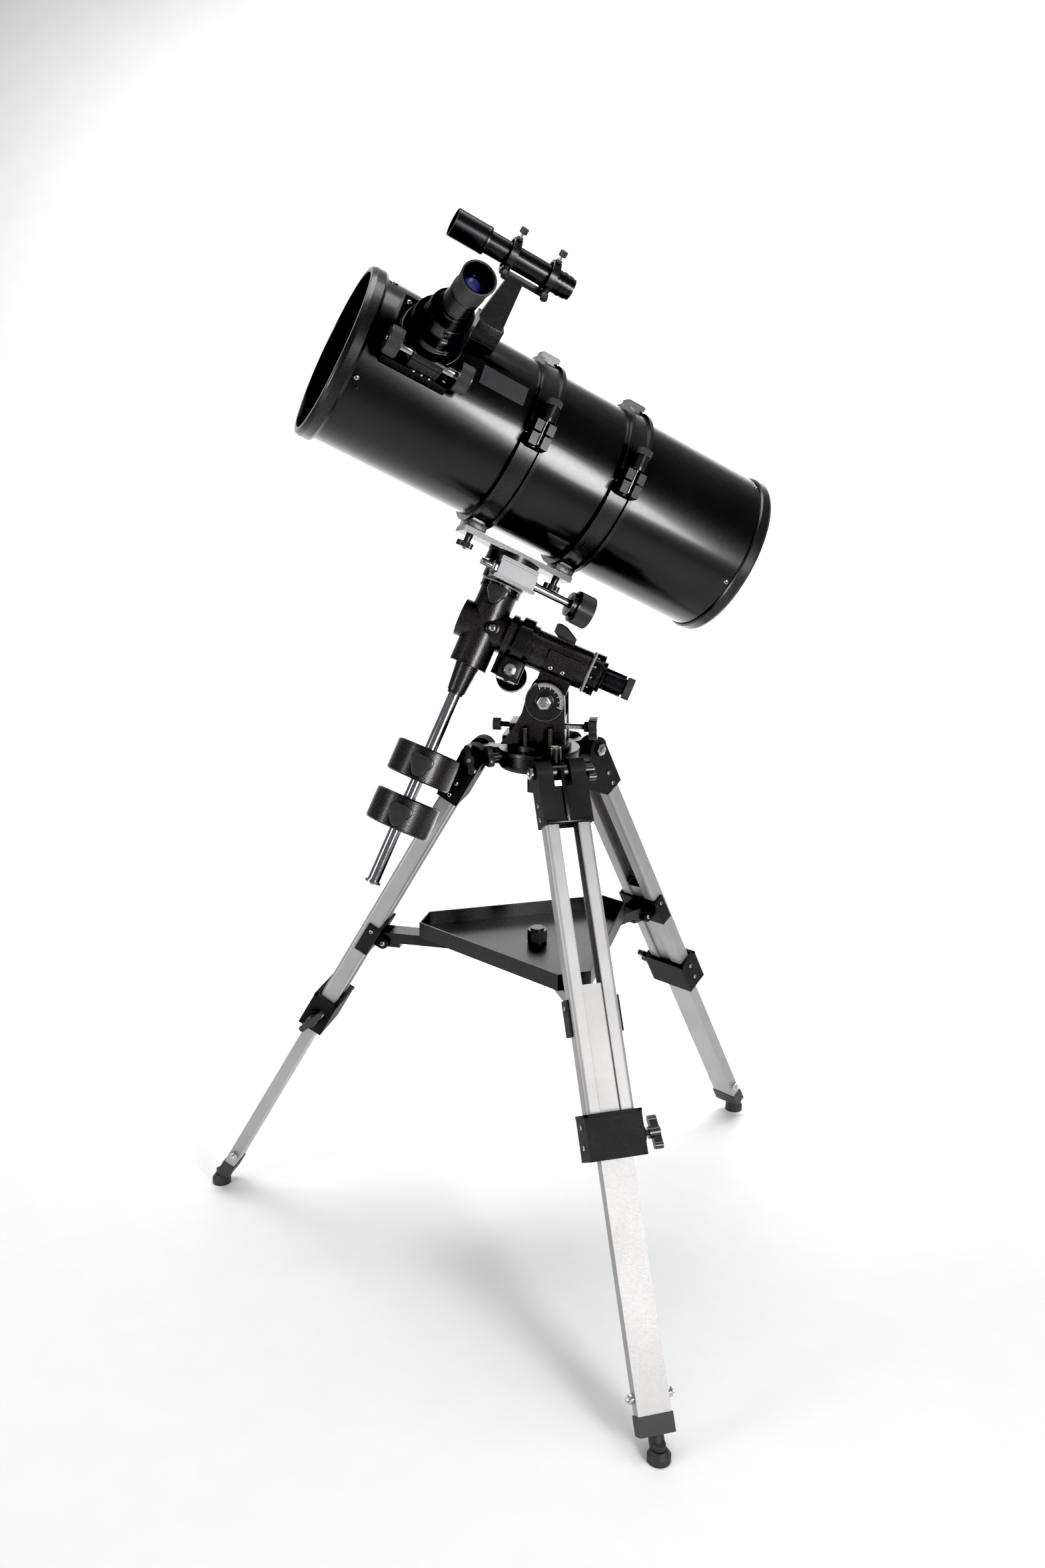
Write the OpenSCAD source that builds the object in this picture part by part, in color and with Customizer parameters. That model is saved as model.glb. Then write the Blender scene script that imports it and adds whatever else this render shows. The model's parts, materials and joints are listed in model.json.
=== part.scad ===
// Newtonian reflector telescope on a German equatorial mount with a folding aluminium tripod.
// Units are millimetres, +Z is up, and the floor under the middle of the telescope is the origin.

/* [Tube] */
// Outside diameter of the optical tube
tube_diameter = 230; // [226:1:231]
// Front face of the tube, measured along the tube from the declination axis
tube_front = 342; // [325:1:400]
// Rear face of the tube, measured along the tube from the declination axis
tube_rear = 290; // [285:1:340]
// Height of the tube axis above the polar axis
tube_height = 244; // [244:1:250]

/* [Pose] */
// Elevation of the polar axis in degrees
polar_elevation = 22; // [18:1:40]
// Turn of the head about the polar axis
ra_turn = 18; // [10:1:60]
// Turn of the tube about the declination axis
dec_turn = 20.5; // [-180:0.5:180]

/* [Tripod] */
// Spread of each leg from the vertical
leg_spread = 30.2; // [29:0.1:31]
// Length of each leg from hinge to floor
leg_length = 882; // [860:1:1000]

/* [Hidden] */
$fn = 96;
head_x = 107.1;
head_y = 27.7;
polar_height = 914;
dec_offset = 85;
tube_r = tube_diameter / 2;
wall = 1.2;
leg_pivot_r = 90;
leg_pivot_z = 762;
front_phase = -66;
left_phase = 174;
right_phase = 54;
leg_phases = [front_phase, left_phase, right_phase];
alt_x = 11;
alt_z = 848;
ring_places = [72, -68];
ring_w = 34;
ring_in = 115.5;
run_fit = 0.06;
focus_x = 252;
focus_angle = 72;
finder_angle = 33;
bracket_s = 334;
tray_r = 175;
tray_half = 24;
tray_floor = 478;

module black() { color([0.06, 0.06, 0.065]) children(); }
module silver() { color([0.78, 0.78, 0.79]) children(); }
module at_polar() translate([head_x, head_y, polar_height]) rotate([0, polar_elevation - 90, 0]) children();
module at_ra() at_polar() rotate([0, 0, ra_turn]) children();
module at_dec_axis() at_ra() translate([0, 0, dec_offset]) rotate(a = 180, v = [1, 0, 1]) children();
module at_dec() at_dec_axis() rotate([0, 0, dec_turn]) children();
module at_tube() at_dec() translate([0, 0, tube_height]) children();
module along_x(x) translate([x, 0, 0]) rotate([0, 90, 0]) children();
module around(angle) rotate([-angle, 0, 0]) children();
module at_focuser() at_tube() around(focus_angle) translate([focus_x, 0, 0]) children();
module at_finder() at_tube() around(finder_angle) children();
module at_head() translate([head_x, head_y, 0]) children();
module at_leg(phase) at_head() rotate([0, 0, phase]) translate([leg_pivot_r, 0, leg_pivot_z])
    rotate([0, 180 - leg_spread, 0]) children();
module disc(r, z0, z1) translate([0, 0, z0]) cylinder(h = z1 - z0, r = r);
module cone(r0, r1, z0, z1) translate([0, 0, z0]) cylinder(h = z1 - z0, r1 = r0, r2 = r1);
module pipe(outer, inner, z0, z1) difference() {
    disc(outer, z0, z1);
    disc(inner, z0 - 1, z1 + 1);
}
module slab(x0, x1, y0, y1, z0, z1) translate([x0, y0, z0]) cube([x1 - x0, y1 - y0, z1 - z0]);
module rod_y(r, x, z, y0, y1) translate([x, y1, z]) rotate([90, 0, 0]) cylinder(h = y1 - y0, r = r);
module lobed(r, h) {
    cylinder(h = h, r = 0.72 * r);
    for (k = [0:2]) rotate([0, 0, 120 * k]) translate([0.6 * r, 0, 0]) cylinder(h = h, r = 0.4 * r);
}
module wing(reach, thick, h) {
    cylinder(h = h, r = 8);
    for (k = [-1, 1]) translate([k * (reach - 5), 0, h * 0.25]) cylinder(h = h * 0.75, r = 5);
    translate([5 - reach, -thick / 2, h * 0.25]) cube([2 * reach - 10, thick, h * 0.75]);
}

// ---- tripod ----

module tripod_head() black() difference() {
    union() {
        at_head() disc(58, 752, 776.5);
        at_head() cone(54, 58, 748, 752);
        for (p = leg_phases) at_head() rotate([0, 0, p]) {
            slab(46, 90, -12, 12, 750, 774);
            rod_y(12, 90, 762, -12, 12);
        }
        at_head() rotate([0, 0, front_phase]) translate([74, 0, 0]) disc(9, 774, 792);
    }
    at_head() disc(6.6, 740, 780);
    at_head() disc(40, 740, 764);
    for (p = leg_phases) at_head() rotate([0, 0, p]) rod_y(4.06, 90, 762, -20, 20);
    at_head() rotate([0, 0, front_phase]) translate([74, 0, 0]) disc(7, 788, 795);
}

module bubble_level() silver() at_head() rotate([0, 0, front_phase]) translate([74, 0, 0]) disc(6.9, 788, 793.5);

module centre_bolt() black() at_head() {
    disc(6.5, 722, 775);
    disc(14, 752, 763.7);
    translate([0, 0, 712]) lobed(22, 20);
}

module leg_hinge_bolts() silver() for (p = leg_phases) at_head() rotate([0, 0, p]) {
    rod_y(4, 90, 762, -42, 44);
    translate([90, -35.4, 762]) rotate([90, 0, 0]) cylinder(h = 6, r = 8);
    translate([90, 35.4, 762]) rotate([-90, 0, 0]) rotate([0, 0, p == left_phase ? 100 : 20]) wing(22, 8, 14);
}

module leg_castings(phase) black() at_leg(phase) {
    difference() {
        union() {
            rod_y(18, 0, 0, -35, 35);
            slab(-17, 17, -35, 35, 0, 76);
        }
        slab(-40, 40, -12.4, 12.4, -30, 24);
        rod_y(4.06, 0, 0, -40, 40);
        for (k = [-1, 1]) scale([1, k, 1]) slab(-13.1, 13.1, 13.9, 33.1, 19.9, 80);
        slab(-11, 11, -15, 15, 24, 80);
    }
    difference() {
        slab(-20, 20, -39, 39, 460, 518);
        slab(-13.1, 13.1, -33.1, 33.1, 459, 470.1);
        slab(-9.4, 9.4, -22.4, 22.4, 455, 520);
        slab(-25, -19.9, -30, -10, 466, 486);
        translate([0, 21, 492]) rotate([-90, 0, 0]) cylinder(h = 40, r = 4.06);
    }
    difference() {
        translate([0, 39, 492]) rotate([-90, 0, 0]) cylinder(h = 5, r = 11);
        translate([0, 38, 492]) rotate([-90, 0, 0]) cylinder(h = 40, r = 4.06);
    }
    translate([0, 0, bracket_s]) {
        difference() {
            slab(-4, 17, -37, 37, -24, 24);
            slab(-14, 13.1, -33.1, 33.1, -30, 30);
        }
        for (k = [-1, 1]) scale([1, k, 1]) difference() {
            union() {
                slab(17, 27, 16.4, 22, -9, 9);
                translate([27, 22, 0]) rotate([90, 0, 0]) cylinder(h = 5.6, r = 9);
            }
            translate([27, 30, 0]) rotate([90, 0, 0]) cylinder(h = 20, r = 3.06);
        }
    }
}

module leg_rails(phase) silver() at_leg(phase) for (k = [-1, 1]) scale([1, k, 1]) difference() {
    union() {
        slab(-13, 13, 14, 27, 20, 470);
        slab(-7, 7, 14, 33, 20, 470);
        for (e = [-1, 1]) translate([e * 7, 27, 20]) cylinder(h = 450, r = 6);
    }
    slab(-9.8, 9.8, 10, 26, 10, 480);
}

module leg_knob(phase) black() at_leg(phase) translate([0, 0, 492]) {
    translate([0, 22.6, 0]) rotate([-90, 0, 0]) cylinder(h = 30, r = 4);
    translate([0, 50, 0]) rotate([-90, 0, 0]) rotate([0, 0, 70]) wing(23, 9, 15);
}

module leg_extension(phase) silver() at_leg(phase) difference() {
    slab(-9, 9, -22, 22, 293, 826);
    slab(-7, 7, -20, 20, 290, 830);
    translate([0, 30, 805]) rotate([90, 0, 0]) cylinder(h = 60, r = 3);
}

module leg_foot(phase) black() {
    at_leg(phase) {
        slab(-10.5, 10.5, -23.5, 23.5, 826, 850);
        slab(-6.8, 6.8, -19.8, 19.8, 808, 826);
        disc(10, 850, leg_length - 14);
    }
    at_head() rotate([0, 0, phase])
        translate([leg_pivot_r + leg_length * sin(leg_spread) - 3, 0, 0]) {
        disc(15, 0, 9);
        cone(15, 10, 9, 16);
        disc(8, 16, 24);
    }
}

module leg_front_castings() leg_castings(front_phase);
module leg_front_rails() leg_rails(front_phase);
module leg_front_knob() leg_knob(front_phase);
module leg_front_extension() leg_extension(front_phase);
module leg_front_foot() leg_foot(front_phase);
module leg_left_castings() leg_castings(left_phase);
module leg_left_rails() leg_rails(left_phase);
module leg_left_knob() leg_knob(left_phase);
module leg_left_extension() leg_extension(left_phase);
module leg_left_foot() leg_foot(left_phase);
module leg_right_castings() leg_castings(right_phase);
module leg_right_rails() leg_rails(right_phase);
module leg_right_knob() leg_knob(right_phase);
module leg_right_extension() leg_extension(right_phase);
module leg_right_foot() leg_foot(right_phase);

arm_pin_r = leg_pivot_r + bracket_s * sin(leg_spread) - 27 * cos(leg_spread);
arm_pin_z = leg_pivot_z - bracket_s * cos(leg_spread) - 27 * sin(leg_spread);

module spreader_arms() black() for (p = leg_phases) at_head() rotate([0, 0, p]) {
    difference() {
        union() {
            slab(38, arm_pin_r, -16, 16, tray_floor - 18.5, tray_floor - 2.5);
            rod_y(7.5, arm_pin_r, arm_pin_z, -16, 16);
            slab(arm_pin_r - 26, arm_pin_r, -16, 16, arm_pin_z - 7, tray_floor - 4);
        }
        slab(30, arm_pin_r - 26, -13, 13, tray_floor - 30, tray_floor - 5.5);
        rod_y(3.06, arm_pin_r, arm_pin_z, -20, 20);
        rod_y(3.06, 48, tray_floor - 11, -20, 20);
    }
    rod_y(3, arm_pin_r, arm_pin_z, -24, 24);
}

module spreader_hub() black() difference() {
    union() {
        at_head() disc(36, tray_floor - 18.5, tray_floor - 2.5);
        for (p = leg_phases) at_head() rotate([0, 0, p]) {
            slab(30, 52, -12.6, 12.6, tray_floor - 17, tray_floor - 6);
            rod_y(3, 48, tray_floor - 11, -19, 19);
        }
    }
    at_head() disc(4.1, tray_floor - 30, tray_floor + 5);
}

module tray_shape(inset) {
    r = tray_r - inset;
    w = tray_half - inset * tan(30);
    polygon([for (p = leg_phases, k = [1, -1]) r_point(p, r, k * w)]);
}
function r_point(p, r, w) = [r * cos(p) - w * sin(p), r * sin(p) + w * cos(p)];

module tray() black() at_head() difference() {
    translate([0, 0, tray_floor - 2]) linear_extrude(24) tray_shape(0);
    translate([0, 0, tray_floor + 1]) linear_extrude(30) tray_shape(2.5);
    disc(4.2, tray_floor - 5, tray_floor + 5);
}

module tray_knob() black() at_head() {
    disc(4, tray_floor - 26, tray_floor + 6);
    disc(14, tray_floor + 1.4, tray_floor + 20);
    disc(10, tray_floor + 20, tray_floor + 23);
}

// ---- mount head ----

module cheek_shape() {
    translate([alt_x, alt_z]) circle(r = 28);
    polygon([[-52, 785], [40, 785], [39, 848], [-17, 848], [-21, 832], [-30, 814], [-41, 799]]);
}

module mount_base() black() difference() {
    union() {
        at_head() disc(46, 777, 785.5);
        at_head() for (y = [-22, 30]) translate([0, y, 0]) rotate([90, 0, 0]) linear_extrude(8) cheek_shape();
        at_head() slab(28, 38, -22.5, 22.5, 785, 822);
        at_head() slab(-50, -40, -22.5, 22.5, 785, 796);
        at_head() slab(-40, -28, -22.5, 22.5, 785, 814);
        at_head() rod_y(27, alt_x, alt_z, -33, -30);
        at_head() for (x = [-15, 20]) translate([x, -38, 0]) disc(3.2, 785, 811);
        at_head() for (x = [-15, 20]) slab(x - 3, x + 3, -38, -29, 785, 809);
    }
    at_head() rod_y(5.06, alt_x, alt_z, -45, 45);
    at_head() along_x(-70) translate([-807, 0, 0]) cylinder(h = 120, r = 4.3);
    at_head() disc(6.6, 770, 800);
}

module altitude_bolt() silver() at_head() {
    rod_y(5, alt_x, alt_z, -36, 42);
    translate([alt_x, -33.2, alt_z]) rotate([90, 0, 0]) cylinder(h = 8, r = 10, $fn = 6);
    translate([alt_x, 30.2, alt_z]) rotate([-90, 0, 0]) cylinder(h = 8, r = 10, $fn = 6);
}

module latitude_screw_rear() black() at_head() translate([0, 0, 807]) {
    along_x(20.4) cylinder(h = 52, r = 4);
    along_x(64) cylinder(h = 8, r = 7.5);
    along_x(71) lobed(18, 12);
}

module latitude_screw_front() black() at_head() translate([0, 0, 807]) {
    along_x(-56) cylinder(h = 57.6, r = 4);
    along_x(-66) cylinder(h = 12, r = 9);
}

module polar_housing() black() {
    difference() {
        union() {
            at_polar() disc(28, -72, 18);
            at_polar() disc(36, 18, 36);
            at_polar() disc(30.5, 10, 18);
            at_polar() disc(19.8, -92, -71);
            at_polar() slab(-62, -18, -20, 20, -58, -12);
            at_polar() disc(22, -96.5, -90.5);
            at_head() rod_y(24, alt_x, alt_z, -21.6, 21.6);
            at_head() slab(alt_x - 8, alt_x + 8, -11, 11, 797, 840);
            at_polar() slab(-14, 14, -30, 30, -60, -14);
        }
        at_polar() disc(16 + run_fit, -66, 40);
        at_polar() disc(13, -100, 0);
        at_head() rod_y(5.06, alt_x, alt_z, -40, 40);
        at_polar() translate([0, 0, 3]) rotate([-90, 0, 20]) cylinder(h = 50, r = 4.06);
    }
}

module ra_circle() silver() at_polar() pipe(30, 19.8 + run_fit, -90.4, -72.6);

module ra_lock() black() at_polar() translate([0, 0, 3]) rotate([-90, 0, 20]) {
    translate([0, 0, 17.5]) cylinder(h = 20, r = 4);
    translate([0, 0, 31]) lobed(11, 12);
}

module polar_scope() black() at_polar() difference() {
    union() {
        disc(12.9, -94, -70);
        disc(16, -127, -96.6);
        disc(12, -130, -126);
        disc(15.5, -140, -129);
    }
    disc(8, -145, -132);
    disc(10, -125, -60);
}

module dec_housing() black() difference() {
    union() {
        at_ra() disc(27, 42, 121);
        at_ra() disc(33, 42, 51);
        at_ra() disc(30, 36.4, 42);
        at_ra() disc(16, -65, 37);
        at_ra() slab(-56, 0, -17, 17, 42.2, 51);
        at_dec_axis() disc(27, -60, 52);
        at_dec_axis() disc(24, 52, 62);
        at_dec_axis() cone(13, 17, -100, -60);
        at_dec_axis() disc(11.5, -104, -99);
        at_dec_axis() translate([-14, 0, 0]) rotate([-90, 0, 0]) translate([0, 0, 26]) cylinder(h = 5, r = 8);
    }
    at_ra() disc(11, -70, 30);
    at_dec_axis() disc(12 + run_fit, 18, 70);
    at_dec_axis() disc(9, -110, -50);
    at_dec_axis() translate([0, 0, 45]) rotate([-90, 0, 0]) cylinder(h = 40, r = 3.06);
}

module ra_worm_block() black() at_ra() difference() {
    union() {
        slab(-57, -37.4, -22, 24, 15, 42);
        slab(-58, -30, -27, -22, 9, 41.9);
        translate([-43.7, -27, 26]) rotate([90, 0, 0]) cylinder(h = 5, r = 9.5, $fn = 6);
        translate([-43.7, 24, 26]) rotate([-90, 0, 0]) cylinder(h = 26, r = 7);
    }
    translate([-43.7, -40, 26]) rotate([-90, 0, 0]) cylinder(h = 100, r = 4.06);
    disc(36.6, 0, 36.2);
    disc(30.6, 30, 41.9);
}

module ra_knob() black() at_ra() translate([-43.7, 0, 26]) rotate([-90, 0, 0]) {
    disc(4, -20, 60);
    disc(16, 51, 60);
    disc(22, 60, 90);
}

module dec_circle() silver() at_dec_axis() pipe(29.5, 24 + run_fit, 52.3, 62.6);

module dec_lock_knob() black() at_dec_axis() translate([0, 0, 45]) rotate([-90, 0, 0]) {
    translate([0, 0, 14]) cylinder(h = 20, r = 3);
    translate([0, 0, 30.3]) rotate([0, 0, 90]) lobed(15, 9);
}

module counterweight_shaft() silver() at_dec_axis() {
    disc(9, -387, -52);
    disc(11.5, -391, -387);
}

module weight(z0) black() at_dec_axis() {
    difference() {
        union() {
            cone(45, 47, z0, z0 + 2);
            disc(47, z0 + 2, z0 + 45);
            cone(47, 45, z0 + 45, z0 + 47);
        }
        disc(9 + run_fit, z0 - 1, z0 + 48);
        translate([0, 0, z0 + 23]) rotate([-90, 0, 0]) cylinder(h = 60, r = 4.2);
    }
    translate([0, 0, z0 + 23]) rotate([-90, 0, 0]) {
        translate([0, 0, 9.6]) cylinder(h = 42, r = 4.15);
        translate([0, 0, 47.5]) rotate([0, 0, 90]) lobed(17, 9);
    }
}
module counterweight_upper() weight(-235);
module counterweight_lower() weight(-308);

// ---- saddle and tube rings ----

module saddle() black() at_dec() difference() {
    union() {
        slab(-84, 88, -22, 22, 105, 113);
        disc(38, 87, 105);
        disc(32, 64, 87);
        disc(11.94, 20, 64);
        slab(-34, 30, 20, 46, 63.4, 69);
    }
    slab(-31.1, 27.1, 25.9, 60, 69, 96.1);
    for (x = ring_places) translate([x, 0, 0]) disc(4.1, 90, 120);
}

module dec_worm_block() silver() at_dec() difference() {
    union() {
        slab(-31, 27, 26, 44, 69, 87);
        slab(-31, 27, 26, 41, 87, 96);
        translate([0, 36, 76]) along_x(27) cylinder(h = 8, r = 8, $fn = 6);
        translate([0, 36, 76]) along_x(35) cylinder(h = 17, r = 4.6);
        translate([0, 36, 76]) along_x(-88) cylinder(h = 57, r = 6);
    }
    translate([0, 36, 76]) along_x(-100) cylinder(h = 110, r = 3.06);
    for (z = [89.5, 93]) slab(-40, 40, 39.5, 50, z, z + 1.2);
}

module dec_knob() black() at_dec() translate([0, 36, 76]) {
    along_x(-100) cylinder(h = 105, r = 3);
    along_x(-95) cylinder(h = 6.4, r = 18);
    along_x(-98) cylinder(h = 4, r = 14);
    along_x(-122) cylinder(h = 25, r = 23);
}

module ring_knobs() black() at_dec() for (x = ring_places) translate([x, 0, 0]) {
    disc(4, 94, 128);
    translate([0, 0, 86.4]) lobed(13.5, 8);
}

module ring_band() {
    along_x(-ring_w / 2) cylinder(h = ring_w, r = 119);
    for (x = [-ring_w / 2, ring_w / 2 - 5]) along_x(x) cylinder(h = 5, r = 123.5);
}
module ring_hollow() along_x(-60) cylinder(h = 120, r = ring_in);
module clamp_slot() slab(-3.6, 3.6, 132, 160, -40, 40);

module ring_bases() black() at_tube() for (x = ring_places) translate([x, 0, 0]) difference() {
    union() {
        difference() {
            union() {
                ring_band();
                slab(-14, 14, -21, 21, -131, -116);
                slab(-14, 14, 116, 146, -20, -3.5);
            }
            slab(-50, 50, -200, 200, -3.5, 200);
            translate([0, -126, -2]) along_x(-6.9) cylinder(h = 13.8, r = 6.3);
        }
        for (k = [-1, 1]) scale([k, 1, 1]) along_x(7) translate([2, -126, 0]) cylinder(h = 7, r = 6);
        slab(-14, -7, -128, -118, -10, -3.5);
        slab(7, 14, -128, -118, -10, -3.5);
        translate([0, -126, -2]) along_x(-15) cylinder(h = 30, r = 2.4);
    }
    ring_hollow();
    clamp_slot();
    translate([0, 139, -14]) along_x(-20) cylinder(h = 40, r = 2.56);
    translate([0, 0, -135]) cylinder(h = 20, r = 4.1);
}

module ring_tops() black() at_tube() for (x = ring_places) translate([x, 0, 0]) difference() {
    union() {
        difference() {
            union() {
                ring_band();
                rotate([-5, 0, 0]) slab(-14, 14, -12, 12, 116, 131);
                slab(-14, 14, 116, 146, -0.5, 14);
            }
            slab(-50, 50, -200, 200, -200, -0.5);
            for (k = [-1, 1]) scale([k, 1, 1]) translate([0, -126, -2]) along_x(6.7) cylinder(h = 8, r = 6.3);
        }
        translate([0, -126, -2]) along_x(-6.6) cylinder(h = 13.2, r = 6);
        slab(-6.6, 6.6, -128, -118, -0.5, 8);
    }
    ring_hollow();
    clamp_slot();
    translate([0, -126, -2]) along_x(-20) cylinder(h = 40, r = 2.46);
}

module ring_clamp(x) black() at_tube() translate([x, 139, 0]) {
    disc(3, -16, 20);
    translate([0, 0, -14]) along_x(-12) cylinder(h = 24, r = 2.5);
    disc(9, 15.7, 37);
    disc(10, 37, 46);
}
module ring_clamp_front() ring_clamp(ring_places[0]);
module ring_clamp_rear() ring_clamp(ring_places[1]);

// ---- optical tube ----

module tube() black() at_tube() difference() {
    along_x(4 - tube_rear) cylinder(h = tube_front + tube_rear - 8, r = tube_r);
    along_x(-tube_rear) cylinder(h = tube_front + tube_rear, r = tube_r - wall);
    around(focus_angle) translate([focus_x, 0, 90]) cylinder(h = 60, r = 29);
}

module tube_end_rings() black() at_tube() {
    along_x(tube_front - 22) rotate_extrude() polygon([[115.2, 0], [119, 0], [121, 4], [121, 16],
        [118.5, 22], [111, 22], [111, 18.2], [115.2, 18.2]]);
    along_x(-tube_rear) rotate_extrude() polygon([[109, 0], [116, 0], [118.5, 4], [118.5, 16],
        [116.5, 18], [115.2, 18], [115.2, 3.8], [109, 3.8]]);
}

module mirror_cell() black() at_tube() along_x(6 - tube_rear) {
    pipe(113.6, 104, 0, 24);
    difference() {
        union() {
            disc(36, 8, 16);
            for (k = [0:2]) rotate([0, 0, 120 * k]) slab(30, 106, -11, 11, 8, 16);
        }
        for (k = [0:2]) rotate([0, 0, 120 * k]) translate([88, 0, 0]) disc(4, 0, 30);
    }
    for (k = [0:2]) rotate([0, 0, 120 * k]) translate([88, 0, 0]) {
        disc(3.9, 0, 22);
        disc(8, 0, 7);
    }
    disc(100, 22, 26);
}

function mirror_face(n) = [for (i = [0:n]) [101.6 * i / n, 22 + 3.7 * pow(i / n, 2)]];
module primary_mirror() silver() at_tube() along_x(32.2 - tube_rear)
    rotate_extrude() polygon(concat([[101.6, 0], [0, 0]], mirror_face(16)));

module spider() black() at_tube() {
    for (k = [0:3]) around(27 + 90 * k) slab(296, 318, -0.6, 0.6, 10, tube_r - wall - 0.1);
    along_x(286) cylinder(h = 40, r = 16);
    along_x(276) cylinder(h = 12, r = 6);
    difference() {
        along_x(210) cylinder(h = 68, r = 25);
        around(focus_angle) translate([focus_x, 0, 0]) rotate([0, 45, 0]) slab(-90, 90, -60, 60, 0, 200);
    }
}

module secondary_mirror() silver() at_tube() difference() {
    along_x(200) cylinder(h = 90, r = 27.5);
    around(focus_angle) translate([focus_x, 0, 0]) rotate([0, 45, 0]) slab(-90, 90, -60, 60, 9.1, 200);
    around(focus_angle) translate([focus_x, 0, 0]) rotate([0, 45, 0]) slab(-90, 90, -60, 60, -200, 0.1);
}

module focuser_base() black() difference() {
    at_focuser() union() {
        slab(-46, 46, -47, 47, 100, 124);
        cone(43, 37, 124, 146);
        disc(41, 146, 152);
        slab(-27, 15, 20, 45, 124, 143);
        translate([0, 35, 143.5]) along_x(-27) cylinder(h = 42, r = 9);
    }
    at_tube() along_x(0) cylinder(h = 500, r = tube_r + 0.1);
    at_focuser() disc(27 + run_fit, 60, 160);
    at_focuser() translate([0, 35, 143.5]) along_x(-60) cylinder(h = 120, r = 4.06);
    at_focuser() translate([0, 35, 143.5]) along_x(33) cylinder(h = 30, r = 18.9);
    for (x = [-57.1, 15.1]) at_focuser() translate([0, 35, 143.5]) along_x(x) cylinder(h = 30, r = 5.8);
}

module drawtube() black() at_focuser() difference() {
    union() {
        disc(27, 112, 170);
        disc(37.5, 165, 177);
        disc(29, 177, 212);
        disc(24, 212, 219);
    }
    disc(25, 100, 190);
    disc(15.95, 180, 230);
}

module pinion() black() at_focuser() translate([-6, 35, 143.5]) {
    along_x(-50) cylinder(h = 100, r = 4);
    for (k = [-1, 1]) scale([k, 1, 1]) {
        along_x(21.3) cylinder(h = 19, r = 5.5);
        along_x(40) cylinder(h = 18, r = 18.4);
    }
}

module eyepiece() black() at_focuser() difference() {
    union() {
        disc(15.875, 184, 222);
        disc(22, 219.4, 226);
        disc(20.5, 226, 262);
        cone(19, 22, 262, 293);
    }
    cone(12, 19, 270, 295);
    disc(12, 150, 215);
}

module finder_bracket() black() difference() {
    at_finder() union() {
        slab(160.5, 197.5, -22, 22, 108, 138);
        translate([0, 4, 0]) rotate([90, 0, 0]) linear_extrude(8)
            polygon([[160.5, 137], [197.5, 137], [189, 199], [167, 199]]);
        slab(137, 203, -9, 9, 198, 203.3);
        for (x = [141, 199]) translate([x, 0, 223]) difference() {
            along_x(-5) cylinder(h = 10, r = 23);
            along_x(-9) cylinder(h = 18, r = 19);
        }
        for (x = [141, 199], k = [0:2]) translate([x, 0, 223]) rotate([120 * k, 0, 0]) {
            disc(2, 15.3, 33);
            disc(5, 31, 38);
        }
    }
    at_tube() along_x(0) cylinder(h = 500, r = tube_r + 0.1);
}

module finder_scope() black() at_finder() translate([0, 0, 223]) difference() {
    union() {
        along_x(113) cylinder(h = 124, r = 15.25);
        along_x(234) cylinder(h = 49, r = 18.75);
        along_x(109) cylinder(h = 5, r = 13.5);
    }
    along_x(240) cylinder(h = 60, r = 17.2);
    along_x(100) cylinder(h = 16, r = 8);
}

tripod_head();
bubble_level();
centre_bolt();
leg_hinge_bolts();
leg_front_castings();
leg_front_rails();
leg_front_knob();
leg_front_extension();
leg_front_foot();
leg_left_castings();
leg_left_rails();
leg_left_knob();
leg_left_extension();
leg_left_foot();
leg_right_castings();
leg_right_rails();
leg_right_knob();
leg_right_extension();
leg_right_foot();
spreader_arms();
spreader_hub();
tray();
tray_knob();
mount_base();
altitude_bolt();
latitude_screw_rear();
latitude_screw_front();
polar_housing();
ra_circle();
ra_lock();
polar_scope();
dec_housing();
ra_worm_block();
ra_knob();
dec_circle();
dec_lock_knob();
counterweight_shaft();
counterweight_upper();
counterweight_lower();
saddle();
dec_worm_block();
dec_knob();
ring_knobs();
ring_bases();
ring_tops();
ring_clamp_front();
ring_clamp_rear();
tube();
tube_end_rings();
mirror_cell();
primary_mirror();
spider();
secondary_mirror();
focuser_base();
drawtube();
pinion();
eyepiece();
finder_bracket();
finder_scope();
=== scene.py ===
import json
import math

import bpy
from mathutils import Matrix, Vector


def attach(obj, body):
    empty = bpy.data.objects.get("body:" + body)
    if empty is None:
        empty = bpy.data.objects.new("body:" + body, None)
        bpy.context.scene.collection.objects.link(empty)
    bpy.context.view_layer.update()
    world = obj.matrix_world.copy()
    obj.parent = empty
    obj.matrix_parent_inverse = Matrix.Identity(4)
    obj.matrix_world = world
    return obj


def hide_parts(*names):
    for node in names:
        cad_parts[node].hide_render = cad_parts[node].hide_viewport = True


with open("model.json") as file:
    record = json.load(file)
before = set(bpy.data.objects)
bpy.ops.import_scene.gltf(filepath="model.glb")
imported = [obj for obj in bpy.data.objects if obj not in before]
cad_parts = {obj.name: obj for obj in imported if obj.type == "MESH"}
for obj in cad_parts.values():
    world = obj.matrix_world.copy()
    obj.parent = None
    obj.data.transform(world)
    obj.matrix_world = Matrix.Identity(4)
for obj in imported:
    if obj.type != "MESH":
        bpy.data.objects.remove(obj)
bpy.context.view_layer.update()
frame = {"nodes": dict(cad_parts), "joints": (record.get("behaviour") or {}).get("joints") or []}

MM = 0.001
FOCUS_X = 252
FINDER_ANGLE = 33
FINDER_R = 223
FINDER_RINGS = (141, 199)
RING_PLACES = (("front", 72), ("rear", -68))
LEGS = (("front", -66), ("left", 174), ("right", 54))
HINGE_R = 90
HINGE_Z = 762
LOCK_S = 492
WEIGHTS = (("counterweight_upper", -235), ("counterweight_lower", -308))
WEIGHT_LENGTH = 47
JOINTS = {j["name"]: j for j in frame["joints"]}


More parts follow.
